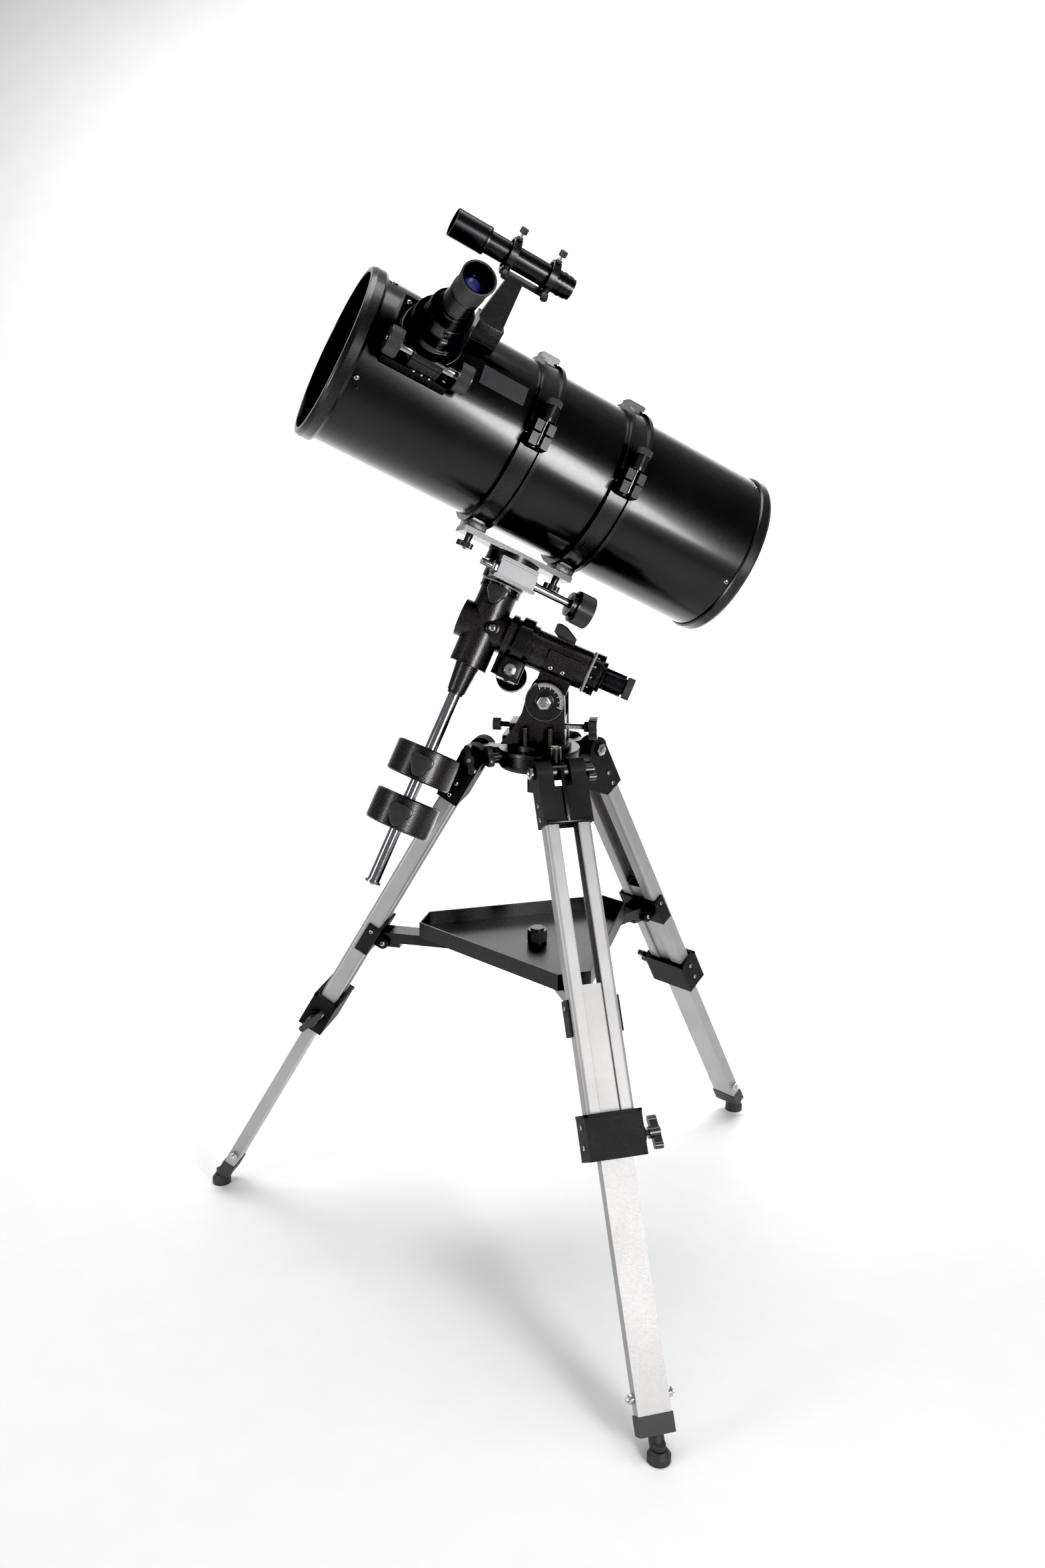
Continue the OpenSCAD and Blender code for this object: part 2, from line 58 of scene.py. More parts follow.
def axis_of(joint):
    return Vector(JOINTS[joint]["axis"]).normalized()


def place_of(joint):
    return Vector(JOINTS[joint]["pos_m"])


def axes(origin, z, x):
    """A frame with +Z along z and +X as near x as it can be."""
    z = z.normalized()
    x = (x - z * x.dot(z)).normalized()
    y = z.cross(x)
    m = Matrix((x, y, z)).transposed().to_4x4()
    m.translation = origin
    return m


def turn(axis, degrees):
    return Matrix.Rotation(math.radians(degrees), 4, axis)


def shift(x, y, z):
    return Matrix.Translation(Vector((x, y, z)) * MM)


# ---- the frames that the parts are built in ----

HEAD = Matrix.Translation(Vector((place_of("azimuth_turn").x, place_of("azimuth_turn").y, 0)))
polar_axis = axis_of("ra_turn")
dec_axis = axis_of("dec_turn")
tube_axis = axis_of("tube_roll")
POLAR = axes(place_of("ra_turn"), polar_axis, Vector((0, 0, 1)))
RA = axes(place_of("ra_turn"), polar_axis, dec_axis)
DEC_BASE = axes(place_of("dec_turn"), dec_axis, polar_axis)
DEC = axes(place_of("dec_turn"), dec_axis, tube_axis)
TUBE = axes(place_of("tube_roll"), dec_axis, tube_axis)
FOCUS = axes(place_of("tube_roll") + tube_axis * FOCUS_X * MM, axis_of("focus_travel"), tube_axis)
FINDER = TUBE @ turn("X", -FINDER_ANGLE) @ shift(0, 0, FINDER_R)
ALONG_X = turn("Y", 90)
TO_FRONT = turn("X", 90)


def leg_frame(side):
    y = axis_of("leg_%s_lock" % side)
    z = axis_of("leg_%s_slide" % side)
    origin = place_of("leg_%s_lock" % side) - y * 40 * MM - z * LOCK_S * MM
    return axes(origin, z, y.cross(z))


def head_turned(degrees):
    return HEAD @ turn("Z", degrees)


# ---- materials ----

def new_material(name):
    m = bpy.data.materials.new(name)
    m.use_nodes = True
    nt = m.node_tree
    shader = nt.nodes["Principled BSDF"]
    coords = nt.nodes.new("ShaderNodeTexCoord")
    return m, nt, shader, coords


def noise(nt, coords, scale, detail=3.0, rough=0.5, stretch=None):
    n = nt.nodes.new("ShaderNodeTexNoise")
    n.inputs["Scale"].default_value = scale
    n.inputs["Detail"].default_value = detail
    n.inputs["Roughness"].default_value = rough
    if stretch:
        mapping = nt.nodes.new("ShaderNodeMapping")
        mapping.inputs["Scale"].default_value = stretch
        nt.links.new(coords.outputs["Object"], mapping.inputs["Vector"])
        nt.links.new(mapping.outputs["Vector"], n.inputs["Vector"])
    else:
        nt.links.new(coords.outputs["Object"], n.inputs["Vector"])
    return n


def ramp(nt, source, lo, hi, a, b):
    r = nt.nodes.new("ShaderNodeValToRGB")
    r.color_ramp.elements[0].position = lo
    r.color_ramp.elements[1].position = hi
    r.color_ramp.elements[0].color = (*a, 1)
    r.color_ramp.elements[1].color = (*b, 1)
    nt.links.new(source, r.inputs["Fac"])
    return r.outputs["Color"]


def spread(nt, source, low, high):
    r = nt.nodes.new("ShaderNodeMapRange")
    r.inputs["From Min"].default_value = 0.3
    r.inputs["From Max"].default_value = 0.7
    r.inputs["To Min"].default_value = low
    r.inputs["To Max"].default_value = high
    nt.links.new(source, r.inputs["Value"])
    return r.outputs["Result"]


def add_bump(nt, shader, sources, distance):
    previous = None
    for height, strength in sources:
        b = nt.nodes.new("ShaderNodeBump")
        b.inputs["Strength"].default_value = strength
        b.inputs["Distance"].default_value = distance
        nt.links.new(height, b.inputs["Height"])
        if previous:
            nt.links.new(previous, b.inputs["Normal"])
        previous = b.outputs["Normal"]
    nt.links.new(previous, shader.inputs["Normal"])


def coated(name, dark, light, rough, scale, bump, distance=0.0004, coat=0.0, metal=0.0, grain=None, stretch=None,
           specular=0.5):
    m, nt, shader, coords = new_material(name)
    big = noise(nt, coords, 14, 4)
    fine = noise(nt, coords, scale, 3, 0.6, stretch)
    nt.links.new(ramp(nt, big.outputs["Fac"], 0.3, 0.7, dark, light), shader.inputs["Base Color"])
    nt.links.new(spread(nt, fine.outputs["Fac"], rough[0], rough[1]), shader.inputs["Roughness"])
    shader.inputs["Metallic"].default_value = metal
    shader.inputs["Specular IOR Level"].default_value = specular
    shader.inputs["Coat Weight"].default_value = coat
    shader.inputs["Coat Roughness"].default_value = 0.12
    heights = [(fine.outputs["Fac"], bump)]
    if grain:
        extra = noise(nt, coords, grain[0], 2)
        heights.append((extra.outputs["Fac"], grain[1]))
    add_bump(nt, shader, heights, distance)
    return m


def hammered(name, strength, fleck, metal=0.25):
    """Black enamel with small raised pools and fine silvery flecks between them."""
    m, nt, shader, coords = new_material(name)
    cells = nt.nodes.new("ShaderNodeTexVoronoi")
    cells.feature = "SMOOTH_F1"
    cells.inputs["Scale"].default_value = 430
    nt.links.new(coords.outputs["Object"], cells.inputs["Vector"])
    wobble = noise(nt, coords, 900, 3)
    flecks = noise(nt, coords, 2300, 2, 0.7)
    color = ramp(nt, flecks.outputs["Fac"], 0.52, 0.74, (0.012, 0.011, 0.011), fleck)
    nt.links.new(color, shader.inputs["Base Color"])
    nt.links.new(spread(nt, wobble.outputs["Fac"], 0.22, 0.42), shader.inputs["Roughness"])
    shader.inputs["Metallic"].default_value = metal
    shader.inputs["Specular IOR Level"].default_value = 0.32
    shader.inputs["Coat Weight"].default_value = 0.28
    shader.inputs["Coat Roughness"].default_value = 0.2
    add_bump(nt, shader, [(cells.outputs["Distance"], strength), (wobble.outputs["Fac"], strength * 0.5)], 0.0005)
    return m


TUBE_BLACK = coated("tube_black", (0.0075, 0.0072, 0.0072), (0.0105, 0.010, 0.010), (0.2, 0.27), 420, 0.035, coat=0.22,
                    specular=0.32)
ENAMEL = coated("black_enamel", (0.010, 0.0095, 0.0095), (0.015, 0.014, 0.014), (0.24, 0.36), 520, 0.10, coat=0.22,
                specular=0.34)
HAMMERED = hammered("hammered_black", 0.4, (0.13, 0.122, 0.116))
CASTING = hammered("cast_black", 0.2, (0.05, 0.048, 0.046), 0.12)
GRAIN = hammered("coarse_black", 0.8, (0.2, 0.19, 0.185))
PLASTIC = coated("black_plastic", (0.022, 0.021, 0.022), (0.032, 0.031, 0.032), (0.26, 0.38), 1400, 0.12, coat=0.3,
                 grain=(260, 0.05), specular=0.4)
RUBBER = coated("black_rubber", (0.026, 0.026, 0.027), (0.038, 0.038, 0.039), (0.5, 0.66), 1700, 0.3, grain=(300, 0.1))
CRINKLE = coated("crinkle_black", (0.012, 0.0115, 0.0115), (0.02, 0.019, 0.019), (0.5, 0.72), 640, 0.6, 0.0006,
                 grain=(1500, 0.3), specular=0.22)
ANODISED = coated("anodised_black", (0.010, 0.010, 0.011), (0.015, 0.015, 0.016), (0.24, 0.34), 900, 0.05, coat=0.15,
                  metal=0.4)
ALUMINIUM = coated("satin_aluminium", (0.36, 0.353, 0.35), (0.42, 0.413, 0.41), (0.45, 0.58), 900, 0.05, 0.0002,
                   metal=0.55, grain=(2600, 0.05))
MACHINED = coated("machined_aluminium", (0.17, 0.17, 0.175), (0.22, 0.22, 0.225), (0.42, 0.55), 1500, 0.10, 0.0002,
                  metal=0.6)
CHROME = coated("chrome", (0.34, 0.34, 0.36), (0.42, 0.42, 0.44), (0.1, 0.16), 160, 0.02, 0.0002, metal=1.0)
ZINC = coated("zinc_steel", (0.46, 0.48, 0.5), (0.58, 0.59, 0.6), (0.16, 0.34), 800, 0.15, 0.0002, metal=1.0)
BRASS = coated("brass", (0.62, 0.47, 0.22), (0.72, 0.56, 0.3), (0.18, 0.3), 900, 0.1, 0.0002, metal=1.0)
WHITE = coated("white_marking", (0.7, 0.7, 0.69), (0.8, 0.8, 0.79), (0.4, 0.55), 1500, 0.1)
# near-black matte: the real flat-black lining inside the tube, and also painted shade in the cross recesses of screw
# heads
FLOCK_AND_RECESS_SHADE = coated("matte_lining_and_recess_shade", (0.004, 0.004, 0.004), (0.007, 0.007, 0.007), (0.75, 0.9), 1200, 0.3)
MIRROR = coated("mirror_coat", (0.88, 0.89, 0.9), (0.92, 0.92, 0.93), (0.01, 0.03), 40, 0.003, 0.0001, metal=1.0)
LABEL = coated("label_plate", (0.028, 0.027, 0.028), (0.05, 0.048, 0.05), (0.3, 0.5), 260, 0.2, grain=(1500, 0.2))
LENS = coated("coated_lens", (0.05, 0.035, 0.16), (0.10, 0.12, 0.34), (0.02, 0.04), 60, 0.005, 0.0001, coat=1.0,
              metal=0.5)
FELT = coated("felt_strip", (0.02, 0.02, 0.02), (0.04, 0.04, 0.04), (0.85, 0.95), 2600, 0.6)
BUBBLE = coated("bubble_glass", (0.55, 0.62, 0.3), (0.7, 0.75, 0.45), (0.03, 0.06), 60, 0.01, 0.0001, coat=1.0)

LOOKS = {
    TUBE_BLACK: ["tube"],
    ENAMEL: ["tube_end_rings", "ring_bases", "ring_tops", "ring_clamp_front", "ring_clamp_rear", "spreader_arms",
             "spreader_hub", "focuser_base"],
    CRINKLE: ["leg_front_castings", "leg_left_castings", "leg_right_castings"],
    HAMMERED: ["mount_base", "polar_housing", "dec_housing", "counterweight_upper", "counterweight_lower"],
    CASTING: ["tripod_head", "saddle", "ra_worm_block", "finder_bracket", "tray"],
    PLASTIC: ["centre_bolt", "leg_front_knob", "leg_left_knob", "leg_right_knob", "latitude_screw_rear", "tray_knob",
              "latitude_screw_front", "dec_lock_knob", "ra_lock", "ra_knob", "dec_knob", "ring_knobs", "pinion",
              "leg_hinge_bolts"],
    RUBBER: ["leg_front_foot", "leg_left_foot", "leg_right_foot"],
    ANODISED: ["polar_scope", "drawtube", "eyepiece", "finder_scope", "ra_circle", "dec_circle", "spider",
               "mirror_cell"],
    ALUMINIUM: ["leg_front_rails", "leg_left_rails", "leg_right_rails", "leg_front_extension", "leg_left_extension",
                "leg_right_extension"],
    MACHINED: ["dec_worm_block"],
    CHROME: ["counterweight_shaft", "bubble_level"],
    ZINC: ["altitude_bolt"],
    MIRROR: ["primary_mirror", "secondary_mirror"],
}
for look, names in LOOKS.items():
    for n in names:
        for s in frame["nodes"][n].material_slots:
            s.material = look


# ---- mesh building ----

def build(name, verts, faces, look, body, matrix, bevel=0.0, smooth=True):
    """A piece from points in millimetres in its own frame, bevelled and shaded, riding on a body."""
    mesh = bpy.data.meshes.new(name)
    mesh.from_pydata([tuple(c * MM for c in v) for v in verts], [], faces)
    mesh.validate()
    mesh.transform(matrix)
    obj = bpy.data.objects.new(name, mesh)
    bpy.context.scene.collection.objects.link(obj)
    bpy.context.view_layer.objects.active = obj
    obj.select_set(True)
    if bevel:
        mod = obj.modifiers.new("bevel", "BEVEL")
        mod.width = bevel * MM
        mod.segments = 2
        mod.limit_method = "ANGLE"
        mod.angle_limit = math.radians(35)
        bpy.ops.object.modifier_apply(modifier="bevel")
    mesh.materials.append(look)
    if smooth:
        bpy.ops.object.shade_smooth_by_angle(angle=math.radians(35))
    obj.select_set(False)
    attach(obj, body)
    return obj


def turned(profile, seg=64):
    """A closed profile of (radius, height) turned about Z; radius 0 makes a pole."""
    verts, rows = [], []
    for r, z in profile:
        if r < 1e-6:
            rows.append([len(verts)] * seg)
            verts.append((0, 0, z))
        else:
            rows.append(list(range(len(verts), len(verts) + seg)))
            verts += [(r * math.cos(2 * math.pi * k / seg), r * math.sin(2 * math.pi * k / seg), z) for k in range(seg)]
    closed = profile[0][0] > 1e-6 or profile[-1][0] > 1e-6
    pairs = list(zip(rows, rows[1:])) + ([(rows[-1], rows[0])] if closed else [])
    faces = []
    for a, b in pairs:
        for k in range(seg):
            j = (k + 1) % seg
            ring = [a[k], a[j], b[j], b[k]]
            ring = [v for i, v in enumerate(ring) if v not in ring[:i]]
            if len(ring) > 2:
                faces.append(ring)
    return verts, faces


def prism(outline, z0, z1):
    n = len(outline)
    verts = [(x, y, z0) for x, y in outline] + [(x, y, z1) for x, y in outline]
    faces = [list(range(n))[::-1], list(range(n, 2 * n))]
    faces += [[k, (k + 1) % n, n + (k + 1) % n, n + k] for k in range(n)]
    return verts, faces


def block(x0, x1, y0, y1, z0, z1):
    return prism([(x0, y0), (x1, y0), (x1, y1), (x0, y1)], z0, z1)


def merged(parts):
    verts, faces = [], []
    for v, f in parts:
        base = len(verts)
        verts += v
        faces += [[i + base for i in face] for face in f]
    return verts, faces


def moved(part, matrix):
    v, f = part
    return [tuple((matrix @ (Vector(p) * MM)) / MM) for p in v], f


def ribs(radius, depth, count, z0, z1):
    """A ring of rounded ribs round a knob."""
    outline = []
    for k in range(count):
        a = 2 * math.pi / count
        for part, r in ((0.0, radius - depth), (0.3, radius), (0.62, radius), (0.92, radius - depth)):
            outline.append((r * math.cos(a * (k + part)), r * math.sin(a * (k + part))))
    return prism(outline, z0, z1)


def ring_of_ribs(radius, depth, count, z0, z1, inner):
    """Ribs as an open sleeve, so that it wraps a CAD knob."""
    v, f = ribs(radius, depth, count, z0, z1)
    n = len(v) // 2
    inside = [(inner * x / math.hypot(x, y), inner * y / math.hypot(x, y)) for x, y, _ in v[:n]]
    verts = v + [(x, y, z0) for x, y in inside] + [(x, y, z1) for x, y in inside]
    faces = f[2:]
    for k in range(n):
        j = (k + 1) % n
        faces.append([j, k, 2 * n + k, 2 * n + j])
        faces.append([n + k, n + j, 3 * n + j, 3 * n + k])
        faces.append([2 * n + k, 3 * n + k, 3 * n + j, 2 * n + j])
    return verts, faces


def dome(r, h, z=0.0, n=6):
    return [(r * math.cos(math.pi / 2 * k / n), z + h * math.sin(math.pi / 2 * k / n)) for k in range(n)] + [(0, z + h)]


def screw(name, r, h, matrix, body, look=None, slot=True):
    """A cross-recessed pan head with a washer face, standing on z = 0. The recess is drawn as a raised near-black
    cross, which is painted shade standing in for the dark inside of the recess.
    """
    look = look or ZINC
    head = turned([(0, -0.6), (r, -0.6), (r, h * 0.35)] + dome(r, h * 0.65, h * 0.35)[1:], 28)
    obj = build(name, *head, look, body, matrix)
    if slot:
        arm = r * 0.62
        w = r * 0.14
        cross = merged([block(-arm, arm, -w, w, h * 0.6, h * 1.04), block(-w, w, -arm, arm, h * 0.6, h * 1.04)])
        # painted shade: a near-black cross stands in for the shade inside the screw's cross recess
        build(name + ".cross", *cross, FLOCK_AND_RECESS_SHADE, body, matrix)
    return obj


def hexagon(flats, z0, z1):
    r = flats / math.sqrt(3)
    return prism([(r * math.cos(math.radians(60 * k)), r * math.sin(math.radians(60 * k))) for k in range(6)], z0, z1)


def number(name, text, size, matrix, look, body):
    curve = bpy.data.curves.new(name, "FONT")
    curve.body = text
    curve.size = size * MM
    curve.align_x = "CENTER"
    curve.align_y = "CENTER"
    curve.extrude = 0.06 * MM
    holder = bpy.data.objects.new(name + "_curve", curve)
    bpy.context.scene.collection.objects.link(holder)
    bpy.context.view_layer.update()
    mesh = bpy.data.meshes.new_from_object(holder)
    bpy.data.objects.remove(holder)
    mesh.transform(matrix)
    mesh.materials.append(look)
    obj = bpy.data.objects.new(name, mesh)
    bpy.context.scene.collection.objects.link(obj)
    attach(obj, body)
    return obj


def on_tube(x, angle, r):
    """A frame standing on the tube: +Z outwards, +X along the tube."""
    return TUBE @ turn("X", -angle) @ shift(x, 0, r)


def tube_patch(x0, x1, a0, a1, r0, r1, steps=12):
    verts, faces = [], []
    for k in range(steps + 1):
        a = math.radians(a0 + (a1 - a0) * k / steps)
        for r in (r0, r1):
            for x in (x0, x1):
                verts.append((x, r * math.sin(a), r * math.cos(a)))
    for k in range(steps):
        b = 4 * k
        faces += [[b, b + 1, b + 5, b + 4], [b + 2, b + 6, b + 7, b + 3], [b, b + 4, b + 6, b + 2],
                  [b + 1, b + 3, b + 7, b + 5]]
    e = 4 * steps
    faces += [[0, 2, 3, 1], [e, e + 1, e + 3, e + 2]]
    return verts, faces


# ---- optical tube ----

for k, (start, end) in enumerate(((-258, 221), (283, 318))):
    lining = turned([(113.1, start), (113.6, start), (113.6, end), (113.1, end)], 96)
    build("tube_lining_%d" % k, *lining, FLOCK_AND_RECESS_SHADE, "optical_tube", TUBE @ ALONG_X)
lip = turned([(118.7, 341.6), (119.5, 340.4), (117.2, 342.6), (112.0, 342.8), (111.2, 341.6)], 96)
build("front_ring_lip", *lip, ENAMEL, "optical_tube", TUBE @ ALONG_X)
for k, angle in enumerate((28, 111, 205, 290)):
    screw("front_screw_%d" % k, 3.3, 2.2, on_tube(313, angle, 115.1) @ turn("Z", 30 * k), "optical_tube")
    screw("rear_screw_%d" % k, 3.3, 2.2, on_tube(-266, angle + 6, 115.1) @ turn("Z", 50 * k), "optical_tube")
build("label_blank", *tube_patch(103, 169, 63, 77, 115.05, 115.45), LABEL, "optical_tube", TUBE)
for k in range(4):
    vane = block(297, 317, -1.3, 1.3, 107, 112.9)
    build("vane_end_%d" % k, *vane, ANODISED, "optical_tube", TUBE @ turn("X", -27 - 90 * k), 0.3)
    screw("vane_screw_%d" % k, 2.2, 1.6, on_tube(307, 27 + 90 * k, 115.1), "optical_tube", ANODISED)
for k in range(3):
    knob = ring_of_ribs(9.0, 0.9, 24, -5, 3, 7.5)
    build("collimation_%d" % k, *knob, PLASTIC, "optical_tube",
          TUBE @ ALONG_X @ shift(0, 0, -284 + 3) @ turn("Z", 120 * k) @ shift(88, 0, 2), 0.2)

# ---- focuser ----

for k, (x, y) in enumerate(((38, 38), (-38, 38), (38, -38), (-38, -38))):
    screw("base_screw_%d" % k, 3.4, 2.2, FOCUS @ shift(x, y, 124) @ turn("Z", 25 * k), "optical_tube")
rim = turned([(40.6, 146.6), (41.5, 147.4), (41.7, 149), (41.5, 151), (40.4, 152.5), (33, 152.6), (33, 151.8)], 96)
build("focuser_rim", *rim, ANODISED, "optical_tube", FOCUS)
bright = turned([(41.3, 145.2), (42.2, 145.6), (42.2, 146.4), (41.3, 146.7)], 96)
build("focuser_bright_edge", *bright, MACHINED, "optical_tube", FOCUS)
for k, (x, y) in enumerate(((-19, 24), (-6, 24), (7, 24), (-19, 46.8), (-8, 46.8), (3, 46.8))):
    place = FOCUS @ shift(x, y, 143 if k < 3 else 125)
    screw("pinion_screw_%d" % k, 1.9, 1.2, place, "optical_tube", ZINC)
tension = FOCUS @ shift(-6, 12, 154) @ turn("X", -52)
build("tension_screw", *hexagon(8, 0, 7), BRASS, "optical_tube", tension, 0.5)
build("tension_tip", *turned([(0, 6), (2.6, 6), (2.6, 12), (0, 12.6)], 20), CHROME, "optical_tube", tension)
for k, side in enumerate((-1, 1)):
    rod = turned([(5.6, 21.6), (5.7, 22.2), (5.7, 39.6), (5.6, 40.1), (5.0, 40.1), (5.0, 21.6)], 40)
    M = FOCUS @ shift(-6, 35, 143.5) @ turn("Y", 90 * side)
    build("pinion_sleeve_%d" % k, *rod, CHROME, "pinion", M)
    build("focus_knob_%d" % k, *ring_of_ribs(19.0, 0.55, 64, 41.2, 56.6, 16), RUBBER, "pinion", M, 0)
    face = turned([(0, 58.2), (14, 58.2), (15.2, 57.9), (17.6, 57.9), (17.9, 57.2), (17.0, 56.8), (0, 56.8)], 64)
    build("focus_knob_face_%d" % k, *face, PLASTIC, "pinion", M)
    screw("focus_knob_screw_%d" % k, 2.4, 1.2, M @ shift(0, 0, 58.2), "pinion")
for k, (r, z) in enumerate(((37.9, 168), (37.9, 173.4), (29.4, 208), (29.4, 183))):
    band = turned([(r - 0.6, z - 1.2), (r, z - 0.8), (r, z + 0.8), (r - 0.6, z + 1.2), (r - 1.6, z)], 96)
    build("drawtube_band_%d" % k, *band, ANODISED, "drawtube", FOCUS)
thumb = FOCUS @ shift(0, 0, 198) @ turn("Z", 100) @ turn("Y", 90) @ shift(0, 0, 28.6)
build("adapter_screw_stem", *turned([(0, 0), (2.1, 0), (2.1, 4), (0, 4)], 20), CHROME, "drawtube", thumb)
build("adapter_screw_head", *ribs(3.7, 0.4, 18, 3.4, 10.4), CHROME, "drawtube", thumb, 0.2)
for k, z in enumerate((224, 231, 258)):
    rr = 22.2 if k == 0 else 20.9
    groove = turned([(rr - 0.5, z - 1), (rr, z - 0.6), (rr, z + 0.6), (rr - 0.5, z + 1), (rr - 1.5, z)], 80)
    build("eyepiece_band_%d" % k, *groove, ANODISED, "eyepiece", FOCUS)
cup = turned([(20.8, 262), (21.2, 264), (20.2, 268), (20.6, 276), (22.6, 291), (22.9, 293.4), (22.2, 294), (20.6, 293),
              (15.2, 276), (13.4, 270.5), (13.4, 269), (18, 262)], 80)
build("eye_cup", *cup, RUBBER, "eyepiece", FOCUS)
build("eye_lens", *turned([(0, 270.2), (12.6, 270.2)] + dome(12.6, 2.4, 271), 64), LENS, "eyepiece", FOCUS)
rim = turned([(12.2, 270.6), (13.5, 270.6), (13.5, 273.2), (12.6, 273.2)], 64)
build("eye_lens_ring", *rim, ANODISED, "eyepiece", FOCUS)

# ---- finder ----

glass = turned([(0, 243), (17.0, 243)] + dome(17.0, 2.2, 244), 64)
build("finder_glass", *glass, LENS, "optical_tube", FINDER @ ALONG_X)
eye = turned([(0, 112), (7.6, 112), (7.6, 111), (0, 110.4)], 48)
build("finder_eye", *eye, LENS, "optical_tube", FINDER @ ALONG_X)
hood = turned([(18.85, 234.5), (19.05, 236), (19.05, 238), (18.85, 239)], 80)
build("finder_hood_band", *hood, ANODISED, "optical_tube", FINDER @ ALONG_X)
for k, (r, x) in enumerate(((15.6, 131), (16.1, 124), (15.5, 117), (14.1, 110.5))):
    band = turned([(r - 0.5, x - 2.4), (r, x - 2), (r, x + 2), (r - 0.5, x + 2.4), (r - 3, x)], 64)
    build("finder_band_%d" % k, *band, ANODISED, "optical_tube", FINDER @ ALONG_X)
for x in FINDER_RINGS:
    for k in range(3):
        M = FINDER @ shift(x, 0, 0) @ turn("X", 120 * k)
        stem = turned([(0, 22), (2.25, 22), (2.25, 31.5), (0, 31.5)], 20)
        build("finder_stem_%d_%d" % (x, k), *stem, CHROME, "optical_tube", M)
        build("finder_head_%d_%d" % (x, k), *ribs(5.4, 0.5, 14, 31, 38.4), PLASTIC, "optical_tube", M, 0.3)
        nut = turned([(0, 22.6), (4.6, 22.6), (4.6, 25.4), (0, 25.4)], 24)
        build("finder_nut_%d_%d" % (x, k), *nut, PLASTIC, "optical_tube", M)
pad = block(161.5, 196.5, -22.4, 22.4, 126, 137)
build("finder_foot_grain", *pad, GRAIN, "optical_tube", FINDER @ shift(0, 0, -FINDER_R), 1.0)

# ---- tube rings ----

for place, x in RING_PLACES:
    ring = TUBE @ shift(x, 0, 0)
    build("top_pad_" + place, *block(-13, 13, -11, 11, 120, 132), GRAIN, "saddle", ring @ turn("X", -5), 1.2)
    screw("top_pad_screw_" + place, 2.2, 1.6, ring @ turn("X", -13) @ shift(-11, 0, 123.2), "saddle")
    build("foot_pad_" + place, *block(-14.6, 14.6, -21.8, 21.8, -130.4, -120), GRAIN, "saddle", ring, 1.2)
    felt = turned([(115.15, -17.6), (115.45, -17.6), (115.45, 17.6), (115.15, 17.6)], 128)
    build("felt_" + place, *felt, FELT, "saddle", ring @ ALONG_X)
    clamp = "ring_clamp_" + place
    M = ring @ shift(0, 139, 0)
    rod = turned([(0, -17), (3.2, -17), (3.2, 15.6), (0, 15.6)], 28)
    build("clamp_rod_" + place, *rod, CHROME, clamp, M)
    sleeve = turned([(3, 15.8), (9.3, 15.8), (9.6, 16.4), (9.3, 22), (9.3, 36.4), (3, 36.4)], 48)
    build("clamp_sleeve_" + place, *sleeve, ENAMEL, clamp, M)
    build("clamp_cap_" + place, *ring_of_ribs(10.5, 0.4, 44, 37, 45.6, 8), RUBBER, clamp, M)
    top = turned([(0, 45.4), (9.6, 45.4), (9.8, 46), (8.8, 46.5), (0, 46.5)], 48)
    build("clamp_cap_top_" + place, *top, RUBBER, clamp, M)

# ---- saddle and declination drive ----

DEC_WORM = DEC @ shift(0, 36, 76) @ ALONG_X
build("dec_pinch_nut", *hexagon(17, 27.2, 33), CHROME, "saddle", DEC_WORM, 0.6)
stub = turned([(0, 33), (4.7, 33), (4.7, 50.5), (4.1, 52.3), (0, 52.3)], 32)
build("dec_worm_stub", *stub, CHROME, "saddle", DEC_WORM)
tube_cover = turned([(5.4, -87.6), (6.15, -87.4), (6.15, -34), (7.8, -33.6), (7.8, -31.2), (5.4, -31.2)], 48)
build("dec_worm_tube", *tube_cover, CHROME, "saddle", DEC_WORM)
build("dec_knob_ribs", *ring_of_ribs(23.6, 0.75, 72, -121.2, -98.4, 20), RUBBER, "dec_knob", DEC_WORM)
collar = turned([(6.4, -88.4), (14, -88.6), (17.6, -89.4), (18.4, -91), (18.2, -93), (16.4, -94.6), (21.4, -95.4),
                 (23.2, -96.4), (23.4, -98.2), (6.4, -98.2)], 72)
build("dec_knob_collar", *collar, ENAMEL, "dec_knob", DEC_WORM)
face = turned([(0, -122.6), (18, -122.4), (21.8, -121.6), (22.4, -120.6), (0, -120.6)], 72)
build("dec_knob_face", *face, PLASTIC, "dec_knob", DEC_WORM)
for place, x in RING_PLACES:
    stem = turned([(3, 94.4), (5.2, 94.6), (5.2, 104.8), (3, 104.8)], 28)
    build("ring_stem_" + place, *stem, PLASTIC, "saddle", DEC @ shift(x, 0, 0))
    screw("ring_stem_screw_" + place, 3, 1.2, DEC @ shift(x, 0, 86.4) @ turn("X", 180), "saddle", PLASTIC)
boss = turned([(31.6, 88), (38.4, 88.2), (38.4, 92), (36.4, 94), (36.4, 100), (38.3, 102), (38.3, 104.6),
               (31.6, 104.6)], 96)
build("saddle_boss", *boss, ENAMEL, "saddle", DEC)

# ---- declination housing, dials ----

acorn = DEC_BASE @ shift(-14, 0, 0) @ turn("X", -90)
build("acorn_skirt", *turned([(0, 30), (9.6, 30), (9.6, 31.4), (8.6, 32), (0, 32)], 40), CASTING, "dec_head", acorn)
build("acorn_bolt", *turned([(0, 31), (6.4, 31), (6.6, 32.4)] + dome(6.3, 4.4, 33), 40), CHROME, "dec_head", acorn)
for k, (r, z) in enumerate(((27.25, -57.5), (27.25, 50.5), (29.8, 53))):
    band = turned([(r - 0.5, z - 1.4), (r, z - 1), (r, z + 1), (r - 0.5, z + 1.4), (r - 1.4, z)], 80)
    build("dec_band_%d" % k, *band, ENAMEL, "dec_head" if k < 2 else "dec_circle", DEC_BASE)


